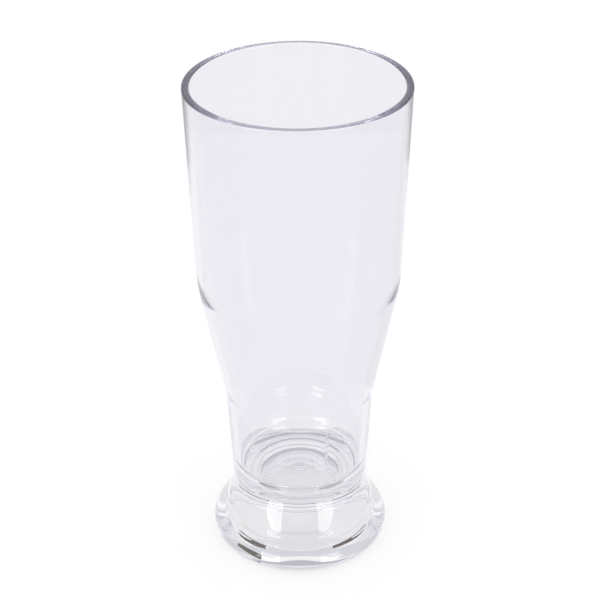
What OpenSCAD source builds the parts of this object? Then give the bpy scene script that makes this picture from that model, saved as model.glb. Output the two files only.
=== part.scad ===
// Clear plastic pilsner glass: a tapered bowl whose plug is cemented into the collar of a hollow bell foot.
// Millimetres, +Z up, origin on the table under the middle of the foot.

/* [Bowl] */
// Height of the whole glass, from the table to the rim
glass_height = 200; // [170:1:240]
// Outside diameter at the rim
rim_diameter = 83; // [78:0.5:92]
// Height of the shoulder bend above the table
shoulder_height = 120; // [105:1:140]
// Outside diameter at the shoulder bend
shoulder_diameter = 78.4; // [70:0.2:84]
// Bend radius of the shoulder
shoulder_bend = 75; // [20:1:120]
// Height of the hip bend, where the cone meets the near-upright lower part
hip_height = 69; // [64:1:85]
// Outside diameter at the hip bend
hip_diameter = 59; // [56:0.2:66]
// Bend radius of the hip
hip_bend = 28; // [10:1:30]
// Height of the waist, where the bowl meets the foot
waist_height = 30; // [26:0.5:36]
// Outside diameter at the waist
waist_diameter = 55.2; // [52:0.2:58]
// Rounding of the bowl's bottom edge at the waist
waist_round = 1; // [0.4:0.1:1.6]
// Thickness of the wall at the rim
rim_wall = 2.8; // [1.8:0.1:4]
// Thickness of the wall at the shoulder
shoulder_wall = 2.15; // [1.6:0.05:3]
// Height of the inner shoulder bend above the outer one
inner_shoulder_rise = 2; // [0:0.5:4]
// Bend radius of the inner shoulder
inner_shoulder_bend = 45; // [20:1:75]
// Thickness of the wall at the hip
hip_wall = 2.5; // [1.8:0.1:3.2]
// Thickness of the wall where it meets the floor
floor_wall = 2.8; // [2.2:0.1:3.2]
// Rounding of the two edges of the rim
rim_round = 0.8; // [0.2:0.1:1.2]
// Height of the floor inside the bowl above the waist
floor_rise = 0.6; // [0:0.1:2]
// Thickness of the floor in the middle
floor_thickness = 4.2; // [2.5:0.1:5]
// Fillet between the inside of the wall and the floor
floor_fillet = 9.6; // [8:0.1:12]

/* [Joint] */
// Thickness of the foot's collar round the bowl's plug
collar_wall = 2.6; // [2:0.1:3.2]
// Thickness of the cement between bowl and foot
cement = 0.2; // [0.1:0.05:0.4]

/* [Foot] */
// Step from the bowl's waist in to the neck of the foot
neck_step = 3; // [2.4:0.1:3.6]
// Outside diameter of the bell, just above the bead
bell_diameter = 61.6; // [58:0.2:70]
// Height at which the bell's cone turns upright
bell_height = 14.6; // [12:0.1:18]
// Bend radius where the bell's cone turns upright
bell_bend = 10; // [4:0.5:14]
// Reach of the bead outside the bell
bead_reach = 5.4; // [4.6:0.1:8]
// Height of the bead
bead_height = 8.9; // [7:0.1:10]
// Rounding of the bead's top edge
bead_round = 4.4; // [2:0.1:4.8]
// Rounding of the bead's bottom edge
bead_under_round = 3.9; // [2:0.1:4]
// Fillet in the crease between bell and bead
crease_fillet = 0.6; // [0.2:0.1:1.5]
// Thickness of the foot's wall behind the crease
foot_wall = 2.6; // [2:0.1:3.4]
// Rounding of the inner edge of the standing ring
base_round = 0.4; // [0.2:0.1:0.8]

/* [Hollow] */
// Slope of the hollow's side from upright, in degrees
hollow_slope = 20.4; // [17:0.2:22]
// Diameter of the flat in the middle of the hollow's domed ceiling
ceiling_diameter = 13; // [12.4:0.2:18]

/* [Gate mark] */
// Diameter of the dimple round the gate mark
dimple_diameter = 11.6; // [8:0.2:12]
// Depth of the dimple
dimple_depth = 0.6; // [0.3:0.1:1]
// Diameter of the gate mark's nub
nub_diameter = 5.2; // [3:0.2:7]
// Height of the nub
nub_height = 0.5; // [0.2:0.1:1]

/* [Hidden] */
$fn = 160;

clear_plastic = [0.9, 0.91, 0.94, 0.45];
clear_cement = [0.96, 0.95, 0.88, 0.6];
arc_step = 7.5;
fewest_arc_steps = 4;

rim_radius = rim_diameter / 2;
shoulder_radius = shoulder_diameter / 2;
hip_radius = hip_diameter / 2;
waist_radius = waist_diameter / 2;
floor_top = waist_height + floor_rise;
ceiling = floor_top - floor_thickness;

neck_radius = waist_radius - neck_step;
socket_radius = neck_radius - collar_wall;
plug_radius = socket_radius - cement;
deck_top = waist_height - cement;

bell_radius = bell_diameter / 2;
bead_radius = bell_radius + bead_reach;
base_radius = bell_radius - foot_wall + bead_height * tan(hollow_slope);
hollow_top_radius = base_radius - ceiling * tan(hollow_slope);
ceiling_radius = ceiling_diameter / 2;
dome_sweep = 90 - hollow_slope;
dome_bend = (hollow_top_radius - ceiling_radius) / tan(dome_sweep / 2);

dimple_radius = dimple_diameter / 2;
dimple_top = ceiling + dimple_depth;
nub_radius = nub_diameter / 2;
nub_tip = dimple_top - nub_height;

// Outside radius of the bowl between waist and hip
function lower_radius(height) =
    waist_radius + (hip_radius - waist_radius) * (height - waist_height) / (hip_height - waist_height);

// Angle round the dome's bend, from its flat middle, at which the dome reaches a radius
function dome_angle(radius) = asin((radius - ceiling_radius) / dome_bend);

// Corner of an outline on the dome
function dome_corner(angle) =
    [ceiling_radius + dome_bend * sin(angle), ceiling - dome_bend * (1 - cos(angle)), 0];

// Corners along the dome between two angles
function dome_arc(first, last) =
    let (steps = ceil(abs(last - first) / arc_step))
    [for (i = [0:steps]) dome_corner(first + (last - first) * i / steps)];

function point(corner) = [corner[0], corner[1]];
function unit(v) = v / norm(v);
function turned(v, angle) = [v[0] * cos(angle) - v[1] * sin(angle), v[0] * sin(angle) + v[1] * cos(angle)];

// Length of an edge that one corner's arc may use, shared with the arc at the edge's other end
function arc_room(corner, other) =
    norm(point(other) - point(corner)) * corner[2] / (corner[2] + other[2]);

// Points that round one corner of an outline; a corner is [radius from the axis, height, rounding]
function rounded(before, corner, after) =
    corner[2] == 0 ? [point(corner)] :
    let (
        back = unit(point(before) - point(corner)),
        ahead = unit(point(after) - point(corner)),
        half = acos(back * ahead) / 2,
        room = min(arc_room(corner, before), arc_room(corner, after)),
        reach = min(corner[2] / tan(half), room),
        centre = point(corner) + unit(back + ahead) * reach / cos(half),
        spoke = point(corner) + back * reach - centre,
        sweep = (180 - 2 * half) * sign(cross(ahead, back)),
        steps = max(fewest_arc_steps, ceil(abs(sweep) / arc_step))
    )
    [for (i = [0:steps]) centre + turned(spoke, sweep * i / steps)];

// Closed outline with every corner rounded
function outline(corners) =
    let (count = len(corners))
    [for (i = [0:count - 1])
        each rounded(corners[(i + count - 1) % count], corners[i], corners[(i + 1) % count])];

// Solid of revolution from a list of corners
module turned_solid(corners) {
    rotate_extrude()
        polygon(outline(corners));
}

// Drinking vessel; the plug under its floor ends in a dome with the gate mark in the middle
module bowl() {
    color(clear_plastic)
        turned_solid([
            [0, nub_tip, 0],
            [nub_radius, nub_tip, 0],
            [nub_radius, dimple_top, 0],
            [dimple_radius, dimple_top, 0],
            [dimple_radius, ceiling, 0],
            each dome_arc(0, dome_angle(plug_radius)),
            [plug_radius, waist_height, 0],
            [waist_radius, waist_height, waist_round],
            [hip_radius, hip_height, hip_bend],
            [shoulder_radius, shoulder_height, shoulder_bend],
            [rim_radius, glass_height, rim_round],
            [rim_radius - rim_wall, glass_height, rim_round],
            [shoulder_radius - shoulder_wall, shoulder_height + inner_shoulder_rise, inner_shoulder_bend],
            [hip_radius - hip_wall, hip_height, hip_bend],
            [lower_radius(floor_top) - floor_wall, floor_top, floor_fillet],
            [0, floor_top, 0]
        ]);
}

// Sleeve of clear cement round the plug, with a flange between the bowl and the foot's neck
module bond_layer() {
    color(clear_cement)
        turned_solid([
            dome_corner(dome_angle(plug_radius)),
            dome_corner(dome_angle(socket_radius)),
            [socket_radius, deck_top, 0],
            [neck_radius, deck_top, 0],
            [neck_radius, waist_height, 0],
            [plug_radius, waist_height, 0]
        ]);
}

// Hollow bell on a round bead, with a collar for the bowl's plug; its dome carries on the plug's own
module foot() {
    color(clear_plastic)
        turned_solid([
            [socket_radius, deck_top, 0],
            [neck_radius, deck_top, 0],
            [bell_radius, bell_height, bell_bend],
            [bell_radius, bead_height, crease_fillet],
            [bead_radius, bead_height, bead_round],
            [bead_radius, 0, bead_under_round],
            [base_radius, 0, base_round],
            each dome_arc(dome_sweep, dome_angle(socket_radius))
        ]);
}

bowl();
bond_layer();
foot();
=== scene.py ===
# %% [markdown]
# # A clear plastic pilsner glass
#
# The object is a tall beer glass moulded from a clear styrene plastic: a bowl, a hollow bell foot, and the thin layer
# of cement that holds the two together. Clear things have almost no colour of their own, so what the eye sees is the
# shape of every surface, inside and out, and the room behind and around it. The lesson therefore spends most of its
# care on smooth turned walls, on what the plastic does to light, and on a plain white studio.

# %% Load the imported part
import math

import bmesh
import bpy
from mathutils import Matrix, Vector


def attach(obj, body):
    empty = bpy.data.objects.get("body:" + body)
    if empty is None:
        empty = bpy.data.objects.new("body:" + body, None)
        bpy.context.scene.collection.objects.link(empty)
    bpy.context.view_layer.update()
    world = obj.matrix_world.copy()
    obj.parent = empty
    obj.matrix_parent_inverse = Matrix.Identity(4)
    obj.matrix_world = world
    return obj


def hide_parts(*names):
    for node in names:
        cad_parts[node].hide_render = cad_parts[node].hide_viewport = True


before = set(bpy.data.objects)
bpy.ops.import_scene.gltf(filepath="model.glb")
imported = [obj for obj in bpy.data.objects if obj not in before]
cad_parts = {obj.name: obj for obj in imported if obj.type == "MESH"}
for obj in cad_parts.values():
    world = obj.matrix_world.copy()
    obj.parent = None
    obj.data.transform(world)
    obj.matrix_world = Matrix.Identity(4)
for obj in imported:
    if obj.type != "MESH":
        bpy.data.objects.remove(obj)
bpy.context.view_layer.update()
print("nodes:", sorted(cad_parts))

# %% [markdown]
# ## Sizes
#
# Everything below is in millimetres and turned into metres once, when a vertex is made. The names are those of the
# glass's own features, from the rim down to the ring that it stands on, so that a size can be found by looking at the
# object.

# %% Sizes of the bowl
MM = 0.001
GLASS_HEIGHT, RIM_RADIUS, RIM_ROUND = 200, 41.5, 0.8
SHOULDER_HEIGHT, SHOULDER_RADIUS, SHOULDER_BEND = 120, 39.2, 75
HIP_HEIGHT, HIP_RADIUS, HIP_BEND = 69, 29.5, 28
WAIST_HEIGHT, WAIST_RADIUS, WAIST_ROUND = 30, 27.6, 1
FLOOR_TOP, FLOOR_FILLET, CEILING = 30.6, 9.6, 26.4
RIM_WALL, SHOULDER_WALL, HIP_WALL, FLOOR_WALL = 2.8, 2.15, 2.5, 2.8
INNER_SHOULDER_RISE, INNER_SHOULDER_BEND = 2, 45
print("the bowl is", GLASS_HEIGHT - CEILING, "mm tall on its axis")

# %% Sizes of the foot and of the joint
CEMENT, PLUG_RADIUS, SOCKET_RADIUS, NECK_RADIUS = 0.2, 21.8, 22.0, 24.6
DECK_TOP = WAIST_HEIGHT - CEMENT
BELL_RADIUS, BELL_HEIGHT, BELL_BEND = 30.8, 14.6, 10
BEAD_RADIUS, BEAD_HEIGHT, BEAD_ROUND, BEAD_UNDER_ROUND = 36.2, 8.9, 4.4, 3.9
CREASE_FILLET, BASE_ROUND, FOOT_WALL = 0.6, 0.4, 2.6
HOLLOW_SLOPE, CEILING_RADIUS = math.radians(20.4), 6.5
BASE_RADIUS = BELL_RADIUS - FOOT_WALL + BEAD_HEIGHT * math.tan(HOLLOW_SLOPE)
DOME_SWEEP = math.pi / 2 - HOLLOW_SLOPE
DOME_BEND = (BASE_RADIUS - CEILING * math.tan(HOLLOW_SLOPE) - CEILING_RADIUS) / math.tan(DOME_SWEEP / 2)
print("dome bend %.1f mm, standing ring at %.1f mm" % (DOME_BEND, BASE_RADIUS))

# %% [markdown]
# ## Turned pieces
#
# A moulded glass is a solid of revolution, so each piece starts as half of its outline: a chain of a few vertices, one
# for each corner. A vertex bevel with a profile of 0.5 rounds a corner to a true arc, and its width follows from the
# radius and the angle of the corner. One full spin then turns the chain into the piece. A subdivision surface would
# be quicker to set up, but it only comes close to an arc, and a clear wall shows every ripple as a bent reflection.

# %% Round the corners of an outline
# Arcs are cut every few degrees, and the tiny ones more coarsely, because no eye can follow them.
ARC_STEP, TINY_ARC_STEP, TINY_ROUNDING, FEWEST_SEGMENTS = 3, 15, 0.3, 4
SAME_PLACE = 1e-7


def rounded_chain(corners, closed):
    """A chain of edges in the XZ plane; each corner is (radius, height, rounding) in millimetres."""
    bm = bmesh.new()
    verts = [bm.verts.new((r * MM, 0, z * MM)) for r, z, _ in corners]
    for first, second in zip(verts, verts[1:] + verts[:1] if closed else verts[1:]):
        bm.edges.new((first, second))
    spots = [Vector(corner[:2]) for corner in corners]
    for i, (_, _, rounding) in enumerate(corners):
        if rounding:
            back = (spots[i - 1] - spots[i]).normalized()
            ahead = (spots[(i + 1) % len(spots)] - spots[i]).normalized()
            half = back.angle(ahead) / 2
            step = ARC_STEP if rounding > TINY_ROUNDING else TINY_ARC_STEP
            segments = max(FEWEST_SEGMENTS, round(math.degrees(math.pi - 2 * half) / step))
            bmesh.ops.bevel(bm, geom=[verts[i]], offset=rounding * MM / math.tan(half), offset_type="OFFSET",
                            affect="VERTICES", segments=segments, profile=0.5, material=-1, clamp_overlap=False)
    bmesh.ops.remove_doubles(bm, verts=bm.verts[:], dist=SAME_PLACE)
    return bm


# %% Turn an outline into a piece
STEPS, SHARP_ANGLE = 480, math.radians(25)


def turned_piece(name, corners, closed=False):
    bm = rounded_chain(corners, closed)
    bmesh.ops.spin(bm, geom=bm.verts[:] + bm.edges[:], cent=(0, 0, 0), axis=(0, 0, 1), angle=2 * math.pi,
                   steps=STEPS, use_merge=True)
    bmesh.ops.remove_doubles(bm, verts=bm.verts[:], dist=SAME_PLACE)
    bmesh.ops.recalc_face_normals(bm, faces=bm.faces[:])
    mesh = bpy.data.meshes.new(name)
    bm.to_mesh(mesh)
    bm.free()
    mesh.shade_smooth()
    mesh.set_sharp_from_angle(angle=SHARP_ANGLE)
    piece = bpy.data.objects.new(name, mesh)
    bpy.context.collection.objects.link(piece)
    print(name, len(mesh.polygons), "faces")
    return piece


# %% [markdown]
# ## The dome under the floor
#
# Seen from below, the plug of the bowl and the hollow of the foot share one dome. Each piece ends somewhere along it,
# and an arc that stops half way is still a rounded corner: the corner lies where the tangents at its two ends meet.

# %% Points of the dome
def dome_angle(radius):
    return math.asin((radius - CEILING_RADIUS) / DOME_BEND)


def on_dome(angle):
    return CEILING_RADIUS + DOME_BEND * math.sin(angle), CEILING - DOME_BEND * (1 - math.cos(angle)), 0


def dome_corner(first, last):
    r, z, _ = on_dome(first)
    reach = DOME_BEND * math.tan((last - first) / 2)
    return r + reach * math.cos(first), z - reach * math.sin(first), DOME_BEND


print("the plug ends %.1f mm above the table" % on_dome(dome_angle(PLUG_RADIUS))[1])

# %% [markdown]
# ## The bowl
#
# The outline runs from the gate mark in the middle of the underside, out along the dome, up the plug to the waist, up
# the outer wall, over the rim and down the inner wall to the floor. The gate mark is the small round scar where the
# molten plastic came into the mould.

# %% Make the bowl
DIMPLE_RADIUS, DIMPLE_TOP, NUB_RADIUS, NUB_TIP = 5.8, CEILING + 0.6, 2.6, CEILING + 0.1
NUB_ROUND, GATE_ROUND = 0.1, 0.2
floor_radius = WAIST_RADIUS + (HIP_RADIUS - WAIST_RADIUS) * (FLOOR_TOP - WAIST_HEIGHT) / (HIP_HEIGHT - WAIST_HEIGHT)
bowl = turned_piece("clear_bowl", [
    (0, NUB_TIP, 0), (NUB_RADIUS, NUB_TIP, NUB_ROUND), (NUB_RADIUS, DIMPLE_TOP, GATE_ROUND),
    (DIMPLE_RADIUS, DIMPLE_TOP, GATE_ROUND), (DIMPLE_RADIUS, CEILING, GATE_ROUND),
    dome_corner(0, dome_angle(PLUG_RADIUS)), on_dome(dome_angle(PLUG_RADIUS)),
    (PLUG_RADIUS, WAIST_HEIGHT, 0), (NECK_RADIUS, WAIST_HEIGHT, 0), (WAIST_RADIUS, WAIST_HEIGHT, WAIST_ROUND),
    (HIP_RADIUS, HIP_HEIGHT, HIP_BEND), (SHOULDER_RADIUS, SHOULDER_HEIGHT, SHOULDER_BEND),
    (RIM_RADIUS, GLASS_HEIGHT, RIM_ROUND), (RIM_RADIUS - RIM_WALL, GLASS_HEIGHT, RIM_ROUND),
    (SHOULDER_RADIUS - SHOULDER_WALL, SHOULDER_HEIGHT + INNER_SHOULDER_RISE, INNER_SHOULDER_BEND),
    (HIP_RADIUS - HIP_WALL, HIP_HEIGHT, HIP_BEND),
    (floor_radius - FLOOR_WALL, FLOOR_TOP, FLOOR_FILLET), (0, FLOOR_TOP, 0)])

# %% [markdown]
# ## The foot
#
# The foot is a bell with a collar at the top for the bowl's plug and a round bead at the bottom. It is hollow, so its
# outline is a closed loop that never touches the axis.

# %% Make the foot
foot = turned_piece("clear_foot", [
    (SOCKET_RADIUS, DECK_TOP, 0), (NECK_RADIUS, DECK_TOP, 0), (BELL_RADIUS, BELL_HEIGHT, BELL_BEND),
    (BELL_RADIUS, BEAD_HEIGHT, CREASE_FILLET), (BEAD_RADIUS, BEAD_HEIGHT, BEAD_ROUND),
    (BEAD_RADIUS, 0, BEAD_UNDER_ROUND), (BASE_RADIUS, 0, BASE_ROUND),
    dome_corner(dome_angle(SOCKET_RADIUS), DOME_SWEEP), on_dome(dome_angle(SOCKET_RADIUS))], closed=True)

# %% [markdown]
# ## The cement
#
# A sleeve of cement fills the narrow gap round the plug and a flange of it lies under the bowl. It is drawn a
# hundredth of a millimetre smaller than the gap, because two faces in exactly the same place confuse a ray tracer.

# %% Make the cement
HAIR = 0.01
cement = turned_piece("cement_sleeve", [
    on_dome(dome_angle(PLUG_RADIUS + HAIR)), on_dome(dome_angle(SOCKET_RADIUS - HAIR)),
    (SOCKET_RADIUS - HAIR, DECK_TOP + HAIR, 0), (NECK_RADIUS, DECK_TOP + HAIR, 0),
    (NECK_RADIUS, WAIST_HEIGHT - HAIR, 0), (PLUG_RADIUS + HAIR, WAIST_HEIGHT - HAIR, 0)], closed=True)

# %% [markdown]
# ## Which faces meet air, and which meet cement
#
# Where clear cement wets clear plastic, light goes straight through, so the joint can't be seen. Each face gets a
# number that says whether it is bare skin (1) or a wetted face inside the joint (0), and another that is 1 only on the
# outside of the mould, where the mould's halves leave their faint parting lines.

# %% Mark the faces
def mark(piece, name, test):
    layer = piece.data.attributes.new(name, "FLOAT", "FACE")
    marked = 0
    for face, item in zip(piece.data.polygons, layer.data):
        item.value = float(test(math.hypot(face.center.x, face.center.y) / MM, face.center.z / MM, face.normal))
        marked += item.value
    print(piece.name, name, int(marked), "of", len(layer.data), "faces")


# %% Bare skin and the outside of the mould
# Each test gets a face's radius and height in millimetres, and its normal.
PLUG_BASE = on_dome(dome_angle(PLUG_RADIUS))[1]
RADIUS_SLACK, HEIGHT_SLACK, EDGE_SLACK = 0.05, 0.01, 0.02
UPRIGHT, FACING_DOWN = 0.1, -0.9
MOULD_RADIUS, SIDEWAYS, UNDERCUT = 24, 0.05, -0.5


def bowl_is_bare(r, z, n):
    in_joint = PLUG_RADIUS - RADIUS_SLACK < r < NECK_RADIUS and PLUG_BASE < z < WAIST_HEIGHT + HEIGHT_SLACK
    return not (in_joint and (abs(n.z) < UPRIGHT or n.z < FACING_DOWN))


def foot_is_bare(r, z, n):
    in_bore = r < SOCKET_RADIUS + RADIUS_SLACK and abs(n.z) < UPRIGHT
    return not (in_bore or z > DECK_TOP - HEIGHT_SLACK)


def cement_is_bare(r, z, n):
    return r > NECK_RADIUS - EDGE_SLACK or z < PLUG_BASE + EDGE_SLACK


def is_outside(r, z, n):
    return n.x * n.x + n.y * n.y > SIDEWAYS and n.z > UNDERCUT and r > MOULD_RADIUS


for piece, is_bare in ((bowl, bowl_is_bare), (foot, foot_is_bare), (cement, cement_is_bare)):
    mark(piece, "bare_skin", is_bare)
    mark(piece, "mould_halves", is_outside)

# %% [markdown]
# ## Clear plastic
#
# Styrene-acrylonitrile is a hard, clear moulding plastic with a refractive index of 1.57 and a faint cool tint. Across
# a wall the tint hardly shows. Along the wall, as in the rim, light travels a long way inside the plastic, so the rim
# looks a violet grey. Volume absorption gives both from one number. Flow lines from the gate run up the wall, and the
# mould's two halves leave a parting line on each side.

# %% Material helpers
def linear(code):
    """The linear colour of an sRGB hex value."""
    parts = [int(code[i:i + 2], 16) / 255 for i in (1, 3, 5)]
    return [v / 12.92 if v <= 0.04045 else ((v + 0.055) / 1.055) ** 2.4 for v in parts] + [1]


def add_node(tree, kind, values=None, links=None, **settings):
    """Adds a node, sets its options and its plain values, and links its inputs to other nodes' outputs."""
    node = tree.nodes.new(kind)
    for key, value in settings.items():
        setattr(node, key, value)
    for key, value in (values or {}).items():
        node.inputs[key].default_value = value
    for key, socket in (links or {}).items():
        tree.links.new(socket, node.inputs[key])
    return node


def new_material(name):
    material = bpy.data.materials.new(name)
    material.use_nodes = True
    tree = material.node_tree
    tree.nodes.clear()
    return material, tree


# %% Clear moulded plastic
# Lengths are in millimetres. The relief is finer than a hair, so it only stirs the reflections.
INDEX, DEPTH_TINT, DEPTH_DENSITY = 1.57, "#CECBDA", 7.0
FLOW_WIDTH, FLOW_STRETCH, FLOW_SHARE = 14, 0.08, 0.04
SEAM_HALF_WIDTH, RELIEF_HEIGHT = 0.35, 0.02
PARTING_ANGLE = math.radians(22)
PARTING_NORMAL = (math.cos(PARTING_ANGLE), math.sin(PARTING_ANGLE), 0)


def clear_plastic(name, tint):
    material, tree = new_material(name)
    place = add_node(tree, "ShaderNodeTexCoord").outputs["Object"]
    stretch = add_node(tree, "ShaderNodeMapping", {"Scale": (1, 1, FLOW_STRETCH)}, {"Vector": place})
    flow = add_node(tree, "ShaderNodeTexNoise", {"Scale": 1 / (FLOW_WIDTH * MM), "Detail": 2.0},
                    {"Vector": stretch.outputs["Vector"]})
    tints = add_node(tree, "ShaderNodeMix", {6: linear(tint[0]), 7: linear(tint[1])}, {0: flow.outputs[0]},
                     data_type="RGBA")
    across = add_node(tree, "ShaderNodeVectorMath", {1: PARTING_NORMAL}, {0: place}, operation="DOT_PRODUCT")
    off_line = add_node(tree, "ShaderNodeMath", links={0: across.outputs["Value"]}, operation="ABSOLUTE")
    ridge = add_node(tree, "ShaderNodeMapRange", {"From Max": SEAM_HALF_WIDTH * MM, "To Min": 1.0, "To Max": 0.0},
                     {"Value": off_line.outputs[0]}, interpolation_type="SMOOTHSTEP")
    halves = add_node(tree, "ShaderNodeAttribute", attribute_name="mould_halves")
    seam = add_node(tree, "ShaderNodeMath", links={0: ridge.outputs[0], 1: halves.outputs["Fac"]}, operation="MULTIPLY")
    relief = add_node(tree, "ShaderNodeMath", {1: FLOW_SHARE}, {0: flow.outputs[0], 2: seam.outputs[0]},
                      operation="MULTIPLY_ADD")
    bump = add_node(tree, "ShaderNodeBump", {"Distance": RELIEF_HEIGHT * MM}, {"Height": relief.outputs[0]})
    skin = add_node(tree, "ShaderNodeAttribute", attribute_name="bare_skin")
    shader = add_node(tree, "ShaderNodeBsdfPrincipled",
                      {"Roughness": 0.0, "IOR": INDEX, "Transmission Weight": 1.0},
                      {"Base Color": tints.outputs[2], "Normal": bump.outputs[0], "Alpha": skin.outputs["Fac"]})
    depth = add_node(tree, "ShaderNodeVolumeAbsorption", {"Color": linear(DEPTH_TINT), "Density": DEPTH_DENSITY})
    add_node(tree, "ShaderNodeOutputMaterial",
             links={"Surface": shader.outputs[0], "Volume": depth.outputs[0]})
    return material


# Cured cement bends light just as the plastic does, so the eye can't find it.
plastic = clear_plastic("clear_styrene_plastic", ("#F7F7F9", "#F9F9FB"))
cured = clear_plastic("clear_cured_cement", ("#FBFBF9", "#FDFDFB"))
print("materials:", plastic.name, cured.name)

# %% Dress the pieces
for piece, own, node, slot in ((bowl, plastic, "bowl", "bowl_plastic"), (foot, plastic, "foot", "foot_plastic"),
                               (cement, cured, "bond_layer", "bond_cement")):
    piece.data.materials.append(own)
    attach(piece, "root")
    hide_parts(node)
    print(piece.name, "takes the place of", node)

# %% [markdown]
# ## Studio
#
# A white acrylic sheet with light under it, a white tent of light all round and two soft boxes at the camera's sides.
# The sheet is matt and glows, so it stays white right up to the glass, with hardly a shadow.

# %% Table
TABLE_RADIUS = 6


def stage_object(name, bm, material):
    mesh = bpy.data.meshes.new(name)
    bm.to_mesh(mesh)
    bm.free()
    mesh.materials.append(material)
    thing = bpy.data.objects.new(name, mesh)
    bpy.context.collection.objects.link(thing)
    return thing


def lit(name, colour, glow):
    """A matt surface with a colour and a light of its own, both sRGB hex values."""
    material, tree = new_material(name)
    shader = add_node(tree, "ShaderNodeBsdfPrincipled",
                      {"Base Color": linear(colour), "Roughness": 0.8, "Specular IOR Level": 0.1,
                       "Emission Color": linear(glow), "Emission Strength": 1.0})
    add_node(tree, "ShaderNodeOutputMaterial", links={"Surface": shader.outputs[0]})
    return material


bm = bmesh.new()
bmesh.ops.create_circle(bm, cap_ends=True, segments=128, radius=TABLE_RADIUS)
stage_object("table", bm, lit("white_acrylic_sheet", "#9C9C9C", "#DDDDDD"))
print("the table is", 2 * TABLE_RADIUS, "m across")

# %% [markdown]
# ## Cards
#
# In so white a room a clear thing would vanish. What draws it is the cards round it: the plastic bends and mirrors them
# into lines. They are switched off for camera, diffuse and shadow rays, so the table stays plain and white from every
# side, and they show only in the glass. Two stand behind it, two make a dark horizon, and the rest lie on the table
# round the foot and under it, some of them rings. The dark brown strips by the foot draw the dark lines in the bead,
# and the pale grey cards under the foot and just round it are painted shade: the foot's shade on the table. The rest
# stand for a room that can't be seen. Their places and greys suit the camera below, and from other sides they draw
# other lines.

# %% Kinds of card
# Heights above the table keep cards that overlap from lying in one plane.
ON_TABLE, ON_CARD = 0.03, 0.06
CARD_STEPS, FULL_TURN = 48, 360


def hidden(name, bm, glow):
    board = stage_object(name, bm, lit(name + "_board", "#000000", glow))
    board.visible_camera = board.visible_diffuse = board.visible_shadow = False
    print(name, "shows only in the glass")


def flat_card(name, place, width, height, glow):
    bm = bmesh.new()
    bmesh.ops.create_grid(bm, x_segments=1, y_segments=1, size=0.5)
    bmesh.ops.transform(bm, verts=bm.verts[:], matrix=place @ Matrix.Diagonal((width * MM, height * MM, 1, 1)))
    hidden(name, bm, glow)


def bent_card(name, near, far, first, last, glow, middle=(0, 0)):
    """An edge between two (radius, height) ends, turned round a middle from one azimuth in degrees to another."""
    bm = bmesh.new()
    turn = Matrix.Rotation(math.radians(first), 4, "Z")
    bm.edges.new([bm.verts.new(turn @ Vector((r * MM, 0, z * MM))) for r, z in (near, far)])
    bmesh.ops.spin(bm, geom=bm.verts[:] + bm.edges[:], cent=(0, 0, 0), axis=(0, 0, 1),
                   angle=math.radians(last - first), steps=CARD_STEPS, use_merge=last - first == FULL_TURN)
    bmesh.ops.translate(bm, verts=bm.verts[:], vec=(middle[0] * MM, middle[1] * MM, 0))
    hidden(name, bm, glow)


def standing(azimuth, elevation, distance):
    """A place at a distance from the foot, turned to face it; angles are in degrees."""
    return (Matrix.Rotation(math.radians(azimuth - 90), 4, "Z") @ Matrix.Rotation(math.radians(elevation), 4, "X")
            @ Matrix.Translation((0, distance * MM, 0)) @ Matrix.Rotation(math.pi / 2, 4, "X"))


def lying(x, y):
    """A place on the table."""
    return Matrix.Translation((x * MM, y * MM, ON_TABLE * MM))


# %% Set up the cards
SHEET_END, HORIZON = 5890, 5900
flat_card("high_card", standing(90, 56, 1500), 1500, 950, "#C6C3C8")
flat_card("back_card", standing(90, 16, 1400), 1500, 480, "#FFFFFF")
# Painted shade: a dim card under the front of the hollow, where the foot shades the table.
flat_card("shade_under_front", lying(0, -12), 40, 15, "#E4E4E7")
bent_card("left_strip", (40.5, ON_CARD), (54, ON_CARD), -159, -124, "#625A54")
bent_card("inner_strip", (29.45, ON_CARD), (30.05, ON_CARD), -137, -114, "#5E5650", (-2.93, 2.93))
bent_card("right_strip", (40, ON_CARD), (46.5, ON_CARD), -58, -12, "#5E5650")
# Painted shade at the front of the foot: two grey bands inside the standing ring with a white line between them, and a
# grey sheet on the table just before the bead.
bent_card("front_shade_line", (27.65, ON_TABLE), (28.1, ON_TABLE), -165, -15, "#BCBBC6")
bent_card("front_line", (28.15, ON_TABLE), (28.45, ON_TABLE), -165, -15, "#FFFFFF")
bent_card("front_shade", (28.5, ON_TABLE), (31.2, ON_TABLE), -165, -15, "#DADAE0")
bent_card("front_shade_sheet", (38, ON_TABLE), (60, ON_TABLE), -122, -59, "#DCDCE1")
# Painted shade: a grey band under the back of the bead.
bent_card("back_shade_band", (33.3, ON_TABLE), (36.8, ON_TABLE), 50, 130, "#C0C0CA")
bent_card("near_sheet", (61, ON_TABLE), (380, ON_TABLE), 0, FULL_TURN, "#F9F9FC")
bent_card("far_sheet", (380, ON_TABLE), (SHEET_END, ON_TABLE), 0, FULL_TURN, "#F5F5F8")
bent_card("right_sheet", (100, ON_CARD), (400, ON_CARD), -30, 58, "#EDEDF1")
bent_card("back_horizon", (HORIZON, 0), (HORIZON, 200), 25, 155, "#74675C")
bent_card("front_horizon", (HORIZON, 0), (HORIZON, 270), -160, -20, "#46424A")

# %% [markdown]
# ## Light
#
# An even white world is the tent. The two soft boxes are area lights that stand on the table, and their bright mirror
# images give the bell its two highlights. A box's power follows from how bright it should look and from its area.

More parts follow.
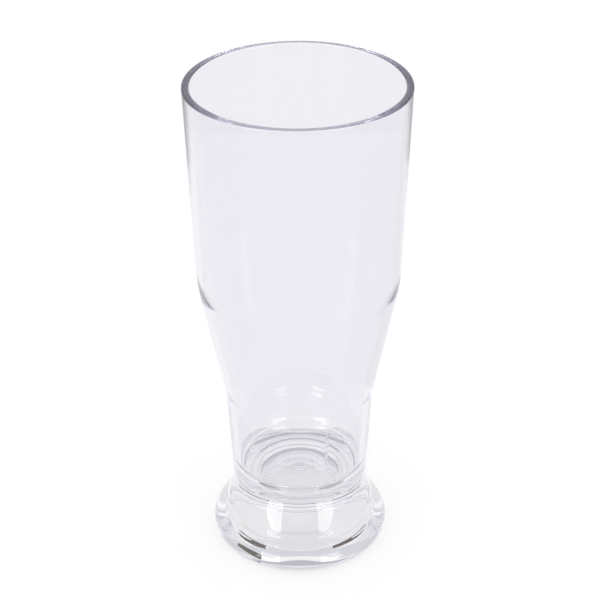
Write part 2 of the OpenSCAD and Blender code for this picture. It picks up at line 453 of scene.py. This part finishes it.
# %% Light
TENT_STRENGTH, BOX_DISTANCE = 0.86, 1.1
world = bpy.data.worlds.new("white_tent")
bpy.context.scene.world = world
world.use_nodes = True
world.node_tree.nodes["Background"].inputs["Color"].default_value = (1, 1, 1, 1)
world.node_tree.nodes["Background"].inputs["Strength"].default_value = TENT_STRENGTH


def soft_box(name, azimuth, width, height, radiance):
    box = bpy.data.lights.new(name, "AREA")
    box.shape, box.size, box.size_y = "RECTANGLE", width, height
    box.energy = radiance * math.pi * width * height
    lamp = bpy.data.objects.new(name, box)
    turn = math.radians(azimuth)
    lamp.location = (BOX_DISTANCE * math.cos(turn), BOX_DISTANCE * math.sin(turn), height / 2)
    lamp.rotation_euler = (math.pi / 2, 0, turn + math.pi / 2)
    bpy.context.collection.objects.link(lamp)
    print(name, "%.1f W" % box.energy)


soft_box("left_box", -130, 0.5, 0.4, 4.0)
soft_box("right_box", -50, 0.5, 0.4, 3.2)

# %% [markdown]
# ## Camera
#
# The camera looks down on the glass at about 31 degrees. Its place was found by fitting the ellipses of the rim and the
# waist. Light crosses many clear walls before it gets out, so its paths are allowed many bounces. A path that runs out
# of them ends in the dark.

# %% Camera
SENSOR_WIDTH, FOCAL_LENGTH = 36, 84
BOUNCES, CLEAR_BOUNCES = 128, 64
CAMERA_PLACE, CAMERA_TILT, CAMERA_ROLL = (0.00045, -0.4645, 0.3929), math.radians(58.61), math.radians(-0.283)
lens = bpy.data.cameras.new("camera")
lens.sensor_width, lens.lens = SENSOR_WIDTH, FOCAL_LENGTH
camera = bpy.data.objects.new("camera", lens)
camera.matrix_world = (Matrix.Translation(CAMERA_PLACE) @ Matrix.Rotation(CAMERA_TILT, 4, "X")
                       @ Matrix.Rotation(CAMERA_ROLL, 4, "Z"))
bpy.context.collection.objects.link(camera)
scene = bpy.context.scene
scene.camera = camera
scene.view_settings.view_transform, scene.view_settings.look = "Standard", "None"
scene.cycles.max_bounces = scene.cycles.transmission_bounces = scene.cycles.glossy_bounces = BOUNCES
scene.cycles.transparent_max_bounces = CLEAR_BOUNCES
print("light may bounce", scene.cycles.max_bounces, "times")
